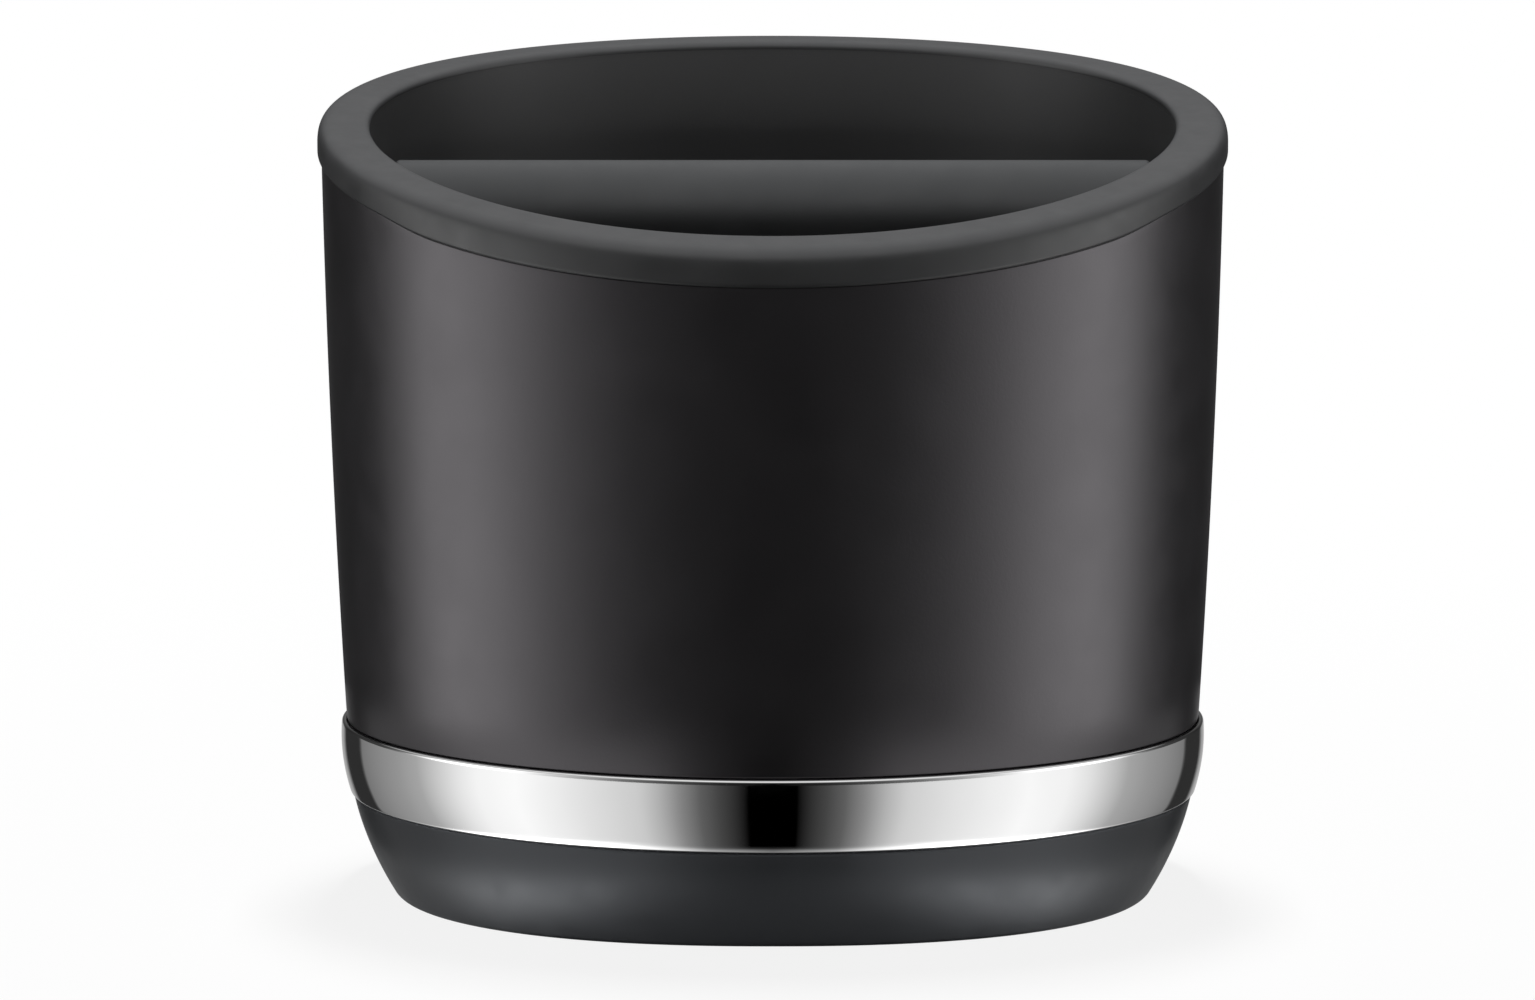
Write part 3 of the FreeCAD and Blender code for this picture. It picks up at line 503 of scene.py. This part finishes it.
class Surface:
    """A procedural material, built up one pattern at a time."""

    def __init__(self, name, roughness, **sockets):
        self.material = bpy.data.materials.new(name)
        self.material.use_nodes = True
        self.tree = self.material.node_tree
        self.shader = self.tree.nodes["Principled BSDF"]
        self.shader.inputs["Roughness"].default_value = roughness
        for socket, number in sockets.items():
            self.shader.inputs[socket.replace("_", " ")].default_value = number
        self.place = self.add("ShaderNodeTexCoord").outputs["Object"]

    def add(self, kind, **inputs):
        """A new node with these numbers on its inputs."""
        node = self.tree.nodes.new(kind)
        for socket, number in inputs.items():
            node.inputs[socket.replace("_", " ")].default_value = number
        return node

    def link(self, output, target):
        self.tree.links.new(output, target)

    def noise(self, size, detail=SOME_LEVELS, stretch=(1, 1, 1)):
        """Cloudy noise from 0 to 1. Size is the pattern's in millimetres, stretch lengthens it."""
        mapping = self.add("ShaderNodeMapping")
        mapping.inputs["Scale"].default_value = [1 / (size * MM * along) for along in stretch]
        texture = self.add("ShaderNodeTexNoise", Scale=1.0, Detail=detail, Roughness=LEVEL_STRENGTH)
        self.link(self.place, mapping.inputs["Vector"])
        self.link(mapping.outputs["Vector"], texture.inputs["Vector"])
        return texture.outputs["Fac"]

    def spread(self, pattern, low, high):
        """The pattern's middle range stretched to run from low to high."""
        node = self.add("ShaderNodeMapRange", From_Min=NOISE_LOW, From_Max=NOISE_HIGH)
        node.inputs["To Min"].default_value = low
        node.inputs["To Max"].default_value = high
        self.link(pattern, node.inputs["Value"])
        return node.outputs["Result"]

    def colour(self, pattern, first, second):
        """Colour the surface between two shades along a pattern."""
        node = self.add("ShaderNodeValToRGB")
        for stop, shade in zip(node.color_ramp.elements, (first, second)):
            stop.color = (*shade, 1)
        self.link(self.spread(pattern, 0, 1), node.inputs["Fac"])
        self.link(node.outputs["Color"], self.shader.inputs["Base Color"])

    def roughness(self, pattern, low, high):
        """Vary the roughness along a pattern."""
        self.link(self.spread(pattern, low, high), self.shader.inputs["Roughness"])

    def gloss(self, size, rough, change):
        """Vary the roughness by a change either way."""
        self.roughness(self.noise(size), rough - change, rough + change)

    def bump(self, size, height, **shape):
        """A layer of bumps of this size and height, in millimetres."""
        return self.noise(size, **shape), height

    def raise_by(self, *layers):
        """Raise the surface by layers of bumps, one on another."""
        normal = None
        for pattern, height in layers:
            node = self.add("ShaderNodeBump", Strength=1.0, Distance=height * MM)
            self.link(pattern, node.inputs["Height"])
            if normal:
                self.link(normal, node.inputs["Normal"])
            normal = node.outputs["Normal"]
        self.link(normal, self.shader.inputs["Normal"])


def moulded(name, dark, light, rough, **sockets):
    """A moulded plastic: faint clouding, uneven gloss and a fine spark-eroded grain."""
    surface = Surface(name, rough, **sockets)
    surface.colour(surface.noise(MOULDED_CLOUDS), dark, light)
    surface.gloss(MOULDED_GLOSS, rough, MOULDED_GLOSS_CHANGE)
    surface.raise_by(surface.bump(*MOULDED_WAVES), surface.bump(*MOULDED_GRAIN, detail=FEW_LEVELS))
    return surface.material


def rubber(name, dark, light, rough, **sockets):
    """A soft rubber: a dusty bloom, fine grain and faint unevenness of the moulding."""
    surface = Surface(name, rough, **sockets)
    surface.colour(surface.noise(RUBBER_CLOUDS, detail=MANY_LEVELS), dark, light)
    surface.gloss(RUBBER_GLOSS, rough, RUBBER_GLOSS_CHANGE)
    surface.raise_by(surface.bump(*RUBBER_WAVES), surface.bump(*RUBBER_GRAIN, detail=FEW_LEVELS))
    return surface.material


def polished(name):
    """Polished steel: hairlines round the band, and smears that dull the polish a little."""
    smoothest, rough, roughest = POLISHED_ROUGHNESS
    surface = Surface(name, rough, Metallic=1.0)
    surface.colour(surface.noise(POLISHED_CLOUDS), *POLISHED_SHADES)
    surface.roughness(surface.noise(POLISHED_SMEARS, detail=MANY_LEVELS), smoothest, roughest)
    surface.raise_by(surface.bump(*POLISHED_HAIRLINES, stretch=ALONG_THE_BAND))
    return surface.material


def plated(name, shade, rough, stretch=(1, 1, 1)):
    """Plated or drawn steel with fine marks of its making."""
    surface = Surface(name, rough, Metallic=1.0)
    surface.colour(surface.noise(PLATED_CLOUDS), [part * PLATED_DARKER for part in shade], shade)
    surface.gloss(PLATED_GLOSS, rough, PLATED_GLOSS_CHANGE)
    surface.raise_by(surface.bump(*PLATED_MARKS, stretch=stretch))
    return surface.material


def make_materials():
    """The material of each slot: its darker and lighter shade, and its roughness."""
    return {
        "rim_rubber": rubber(
            "rim_rubber",
            (0.046, 0.047, 0.049),
            (0.052, 0.053, 0.055),
            0.43,
            Specular_IOR_Level=0.8,
        ),
        "housing_plastic": moulded(
            "housing_plastic",
            (0.024, 0.023, 0.025),
            (0.028, 0.027, 0.029),
            0.32,
            Specular_IOR_Level=1.0,
            Specular_Tint=(1.0, 0.95, 1.0, 1.0),
        ),
        "liner_plastic": moulded(
            "liner_plastic",
            (0.145, 0.145, 0.147),
            (0.155, 0.155, 0.157),
            0.42,
            Specular_IOR_Level=0.6,
        ),
        "polished_steel": polished("polished_steel"),
        "boot_rubber": rubber(
            "boot_rubber",
            (0.094, 0.1, 0.11),
            (0.104, 0.11, 0.12),
            0.37,
            Specular_Tint=(0.93, 0.96, 1.0, 1.0),
        ),
        "inner_plastic": moulded("inner_plastic", (0.036, 0.036, 0.037), (0.042, 0.042, 0.043), 0.5),
        "seal_rubber": rubber("seal_rubber", (0.018, 0.018, 0.018), (0.024, 0.024, 0.024), 0.6),
        "screw_steel": plated("screw_steel", (0.62, 0.61, 0.6), 0.3),
        "tube_steel": plated("tube_steel", (0.56, 0.56, 0.57), 0.3, stretch=ALONG_THE_TUBE),
        "bar_rubber": rubber("bar_rubber", (0.05, 0.052, 0.054), (0.056, 0.058, 0.06), 0.45),
        "plug_plastic": moulded("plug_plastic", (0.036, 0.036, 0.038), (0.042, 0.042, 0.044), 0.45),
        "saddle_plastic": moulded("saddle_plastic", (0.036, 0.036, 0.038), (0.042, 0.042, 0.044), 0.45),
        "pad_rubber": rubber("pad_rubber", (0.026, 0.026, 0.026), (0.032, 0.032, 0.032), 0.6),
    }


def dress_cad_nodes(materials):
    """Give every CAD node that stays the finish of its own slot."""
    for part in frame["record"]["subparts"]:
        slots = frame["nodes"][part["node"]].data.materials
        slots[0] = materials[part["material_slot"]]


# --- Studio, in metres -------------------------------------------------------------------

# The tent: a dome of softboxes round the box that only reflections see. Stops are (degrees,
# brightness). The upright softboxes' degrees go round from the camera's side to the back, and
# they fade out at their foot and top, between degrees above the horizon. The roof's degrees are
# above the horizon, one set over the camera and one over the back.
TENT_RADIUS = 0.9
TENT_MIDDLE = 0.07
TENT_ROWS = 90
SOFTBOX_STOPS = (
    (0, 0), (12, 0.02), (25, 0.08), (35, 0.18), (45, 0.4), (55, 0.75), (65, 1.3), (76, 1.75),
    (87, 1.85), (94, 1.4), (101, 0.65), (109, 0.2), (118, 0.05), (150, 0.02), (180, 0.15),
)
SOFTBOX_FOOT = (-70, -40)
SOFTBOX_TOP = (18, 30)
FRONT_ROOF_STOPS = ((0, 0), (10, 0.03), (22, 0.15), (36, 0.62), (50, 1.1), (65, 0.85), (90, 0.7))
BACK_ROOF_STOPS = ((24, 0), (31, 0.55), (38, 0.5), (46, 0.45), (60, 0.6), (72, 0.75), (90, 0.7))

# The low card: a ring close round the foot, which the steel band and the soft base reflect. Its
# heights are in millimetres. Its upper part is the band's, and its foot is the soft base's: that is
# brightest about 50 degrees round from the camera, and fades to its least at its lower end. The top
# of the foot is a little higher at the sides.
CARD_RADIUS = 82.0
CARD_HEIGHTS = (-90.0, 25.5)
CARD_ROWS = 60
CARD_STOPS = (
    (0, 0), (4, 0), (9, 0.07), (12, 0.13), (15.5, 0.28), (19, 0.52), (22.5, 0.72), (37, 1.0),
    (45, 1.12), (53, 1.05), (57.5, 0.9), (62.5, 0.68), (68, 0.44), (74.5, 0.35), (90, 0.21),
    (91.5, 0.03), (105, 0.03), (110, 0.35), (130, 0.7), (145, 0.6), (165, 0.25), (172, 0.08),
    (180, 0.05),
)
CARD_FOOT_STOPS = (
    (0, 0), (12, 0.3), (24, 1.3), (36, 3.6), (56, 4.2), (72, 0.7), (90, 0.05), (120, 0.1),
    (150, 0.5), (180, 0.4),
)
CARD_FOOT_LEAST = 0.22
CARD_FOOT_TOP = (-11.0, -4.0)
CARD_FOOT_END = (-34.0, -5.0)
CARD_FOOT_RISE = 3.0
CARD_FOOT_SIDES = (8, 30)

# Both have a column of points for every degree round.
REFLECTOR_COLUMNS = 360

# The floor: white to the camera far from the box, and less so near it, where it shows the shadow.
FLOOR_REACH = 6.0
FLOOR_COLOUR = (0.9, 0.9, 0.9, 1)
FLOOR_ROUGHNESS = 0.9
FLOOR_WHITENESS = {"From Min": 0.1, "From Max": 0.45, "To Min": 0.87, "To Max": 1.0}

# The room's light: a band of it just below the horizon, and little above and below that. It is
# stronger in front of the box than at its sides and behind it.
WHITE = (1, 1, 1, 1)
ROOM_BAND_MIDDLE = -0.09
ROOM_BAND = {"From Min": 0.07, "From Max": 0.13, "To Min": 3.1, "To Max": 0.07}
ROOM_FRONT = {"From Min": -0.95, "From Max": -0.55, "To Min": 1.0, "To Max": 0.28}

# One narrow softbox overhead, a little behind the box.
OVERHEAD_WIDTH = 0.16
OVERHEAD_DEPTH = 0.4
OVERHEAD_POWER = 21.0
OVERHEAD_PLACE = (0, 0.28, 1.4)

# The camera that the photograph was taken with, fitted to the curves of the box.
CAMERA_ELEVATION = math.radians(7.74)
CAMERA_DISTANCE = 1.2
CAMERA_TARGET = Vector((0, 0, 0.06018))
CAMERA_SENSOR = 36.0
CAMERA_LENS = 181.6
CAMERA_SHIFT = -0.0034


def along_stops(stops, value):
    """A number read from (value, number) stops, with straight lines between them."""
    for (low, first), (high, second) in zip(stops, stops[1:]):
        if value <= high:
            return first + (second - first) * max(0.0, (value - low) / (high - low))
    return stops[-1][1]


def tent_light(azimuth, elevation):
    """Brightness of the tent, by degrees round from the camera and above the horizon."""
    softbox = along_stops(SOFTBOX_STOPS, azimuth) * smooth(elevation, *SOFTBOX_FOOT)
    softbox *= 1 - smooth(elevation, *SOFTBOX_TOP)
    ahead = (1 + math.cos(math.radians(azimuth))) / 2
    roof = ahead * along_stops(FRONT_ROOF_STOPS, elevation)
    roof += (1 - ahead) * along_stops(BACK_ROOF_STOPS, elevation)
    return softbox + roof


def card_light(azimuth, height):
    """Brightness of the low card, by degrees round from the camera and height."""
    light = along_stops(CARD_STOPS, azimuth)
    foot = CARD_FOOT_LEAST + along_stops(CARD_FOOT_STOPS, azimuth) * smooth(height, *CARD_FOOT_END)
    rise = CARD_FOOT_RISE * smooth(azimuth, *CARD_FOOT_SIDES)
    return foot + (light - foot) * smooth(height - rise, *CARD_FOOT_TOP)


def math_node(tree, operation, *values):
    """The result of a calculation with outputs of other nodes and plain numbers."""
    node = tree.nodes.new("ShaderNodeMath")
    node.operation = operation
    for socket, value in zip(node.inputs, values):
        if isinstance(value, float):
            socket.default_value = value
        else:
            tree.links.new(value, socket)
    return node.outputs["Value"]


def soft_step(tree, value, numbers):
    """A value turned into a soft step between two numbers."""
    node = tree.nodes.new("ShaderNodeMapRange")
    node.interpolation_type = "SMOOTHSTEP"
    for socket, number in numbers.items():
        node.inputs[socket].default_value = number
    tree.links.new(value, node.inputs["Value"])
    return node.outputs["Result"]


def mixed(tree, share, first, second):
    """A shader that goes from the first to the second as the share goes from 0 to 1."""
    node = tree.nodes.new("ShaderNodeMixShader")
    for socket, value in zip(node.inputs, (share, first, second)):
        tree.links.new(value, socket)
    return node.outputs["Shader"]


def seen_straight(tree):
    """An output that is 1 for what the camera sees, straight, reflected or through glass."""
    path = tree.nodes.new("ShaderNodeLightPath")
    seen = math_node(tree, "MAXIMUM", path.outputs["Is Camera Ray"], path.outputs["Is Glossy Ray"])
    return math_node(tree, "MAXIMUM", seen, path.outputs["Is Transmission Ray"])


def stage_object(name, points, faces):
    """An object of the studio, from points in metres, and its material."""
    mesh = bpy.data.meshes.new(name)
    mesh.from_pydata(points, [], faces)
    item = bpy.data.objects.new(name, mesh)
    bpy.context.scene.collection.objects.link(item)
    material = bpy.data.materials.new(name)
    material.use_nodes = True
    mesh.materials.append(material)
    return item, material


def reflector_skin(outline):
    """Points and faces of a surface round the box."""
    points = []
    for radius, height, _ in outline:
        for turn in turns(REFLECTOR_COLUMNS):
            points.append((radius * math.sin(turn), -radius * math.cos(turn), height))
    faces = []
    for low in range(0, len(points) - REFLECTOR_COLUMNS, REFLECTOR_COLUMNS):
        high = low + REFLECTOR_COLUMNS
        for column in range(REFLECTOR_COLUMNS):
            after = (column + 1) % REFLECTOR_COLUMNS
            faces.append((low + column, low + after, high + after, high + column))
    return points, faces


def make_reflector(name, outline, light):
    """A surface round the box that only reflections see.

    The outline is (radius, height, measure) from the bottom up, and light(azimuth, measure) gives
    how bright it is there.
    """
    item, material = stage_object(name, *reflector_skin(outline))
    lights = [
        light(min(azimuth, REFLECTOR_COLUMNS - azimuth), measure)
        for _, _, measure in outline
        for azimuth in range(REFLECTOR_COLUMNS)
    ]
    item.data.attributes.new("light", "FLOAT", "POINT").data.foreach_set("value", lights)
    nodes, links = material.node_tree.nodes, material.node_tree.links
    nodes.remove(nodes["Principled BSDF"])
    read = nodes.new("ShaderNodeAttribute")
    read.attribute_name = "light"
    glow = nodes.new("ShaderNodeEmission")
    links.new(read.outputs["Fac"], glow.inputs["Strength"])
    links.new(glow.outputs["Emission"], nodes["Material Output"].inputs["Surface"])
    material.cycles.emission_sampling = "NONE"
    item.visible_camera = False
    item.visible_diffuse = False
    item.visible_transmission = False
    item.visible_shadow = False


def make_reflectors():
    """The tent of softboxes far round the box, and the low card close round its foot."""
    dome = []
    for elevation in spread(-90, 90, TENT_ROWS):
        angle = math.radians(elevation)
        radius, height = TENT_RADIUS * math.cos(angle), TENT_MIDDLE + TENT_RADIUS * math.sin(angle)
        dome.append((radius, height, elevation))
    make_reflector("tent", dome, tent_light)
    card = [(CARD_RADIUS * MM, height * MM, height) for height in spread(*CARD_HEIGHTS, CARD_ROWS)]
    make_reflector("low_card", card, card_light)


def make_floor():
    """A pale floor that keeps the box's soft shadow and shows white to the camera."""
    corners = [(x * FLOOR_REACH, y * FLOOR_REACH, 0) for x, y in ((-1, -1), (1, -1), (1, 1), (-1, 1))]
    floor, material = stage_object("floor", corners, [(0, 1, 2, 3)])
    tree = material.node_tree
    shader = tree.nodes["Principled BSDF"]
    shader.inputs["Base Color"].default_value = FLOOR_COLOUR
    shader.inputs["Roughness"].default_value = FLOOR_ROUGHNESS
    glow = tree.nodes.new("ShaderNodeEmission")
    place = tree.nodes.new("ShaderNodeTexCoord")
    distance = tree.nodes.new("ShaderNodeVectorMath")
    distance.operation = "LENGTH"
    tree.links.new(place.outputs["Object"], distance.inputs[0])
    whiteness = soft_step(tree, distance.outputs["Value"], FLOOR_WHITENESS)
    share = math_node(tree, "MULTIPLY", seen_straight(tree), whiteness)
    surface = mixed(tree, share, shader.outputs["BSDF"], glow.outputs["Emission"])
    tree.links.new(surface, tree.nodes["Material Output"].inputs["Surface"])
    floor.visible_glossy = False
    floor.visible_diffuse = False


def make_world():
    """A white room for whatever looks straight at it, and soft light on the box all round."""
    world = bpy.data.worlds.new("room")
    bpy.context.scene.world = world
    world.use_nodes = True
    tree = world.node_tree
    place = tree.nodes.new("ShaderNodeTexCoord")
    parts = tree.nodes.new("ShaderNodeSeparateXYZ")
    tree.links.new(place.outputs["Generated"], parts.inputs["Vector"])
    above = math_node(tree, "SUBTRACT", parts.outputs["Z"], ROOM_BAND_MIDDLE)
    band = soft_step(tree, math_node(tree, "ABSOLUTE", above), ROOM_BAND)
    front = soft_step(tree, parts.outputs["Y"], ROOM_FRONT)
    soft = tree.nodes["Background"]
    soft.inputs["Color"].default_value = WHITE
    tree.links.new(math_node(tree, "MULTIPLY", band, front), soft.inputs["Strength"])
    white = tree.nodes.new("ShaderNodeBackground")
    white.inputs["Color"].default_value = WHITE
    white.inputs["Strength"].default_value = 1.0
    room = mixed(tree, seen_straight(tree), soft.outputs["Background"], white.outputs["Background"])
    tree.links.new(room, tree.nodes["World Output"].inputs["Surface"])


def make_overhead():
    """The one lamp: a soft light on whatever faces up."""
    lamp = bpy.data.lights.new("overhead", "AREA")
    lamp.shape = "RECTANGLE"
    lamp.size = OVERHEAD_WIDTH
    lamp.size_y = OVERHEAD_DEPTH
    lamp.energy = OVERHEAD_POWER
    item = bpy.data.objects.new("overhead", lamp)
    item.location = OVERHEAD_PLACE
    item.visible_glossy = False
    bpy.context.scene.collection.objects.link(item)


def make_camera():
    """The photograph's view: from the front, looking slightly down."""
    back = Vector((0, -math.cos(CAMERA_ELEVATION), math.sin(CAMERA_ELEVATION)))
    data = bpy.data.cameras.new("camera")
    data.sensor_width = CAMERA_SENSOR
    data.lens = CAMERA_LENS
    data.shift_x = CAMERA_SHIFT
    camera = bpy.data.objects.new("camera", data)
    camera.location = CAMERA_TARGET + back * CAMERA_DISTANCE
    camera.rotation_mode = "QUATERNION"
    camera.rotation_quaternion = (-back).to_track_quat("-Z", "Y")
    bpy.context.scene.collection.objects.link(camera)
    bpy.context.scene.camera = camera


def make_studio():
    """The room, the floor, the lights and the camera."""
    bpy.context.scene.view_settings.view_transform = "Standard"
    make_world()
    make_floor()
    make_reflectors()
    make_overhead()
    make_camera()


def make_pieces():
    """The CAD nodes' finish, and the pieces that are made here."""
    materials = make_materials()
    dress_cad_nodes(materials)
    finish_piece(make_rim(), "box", "rim_rubber", materials, "rim_bead")
    finish_piece(make_liner_edge(), "box", "liner_plastic", materials)
    finish_piece(make_housing(), "box", "housing_plastic", materials, "outer_housing")
    finish_piece(make_band(), "box", "polished_steel", materials, "steel_band")
    finish_piece(make_boot(), "box", "boot_rubber", materials, "base_boot")
    finish_piece(make_sleeve(), "knock_bar", "bar_rubber", materials, "bar_sleeve")


make_studio()
make_pieces()
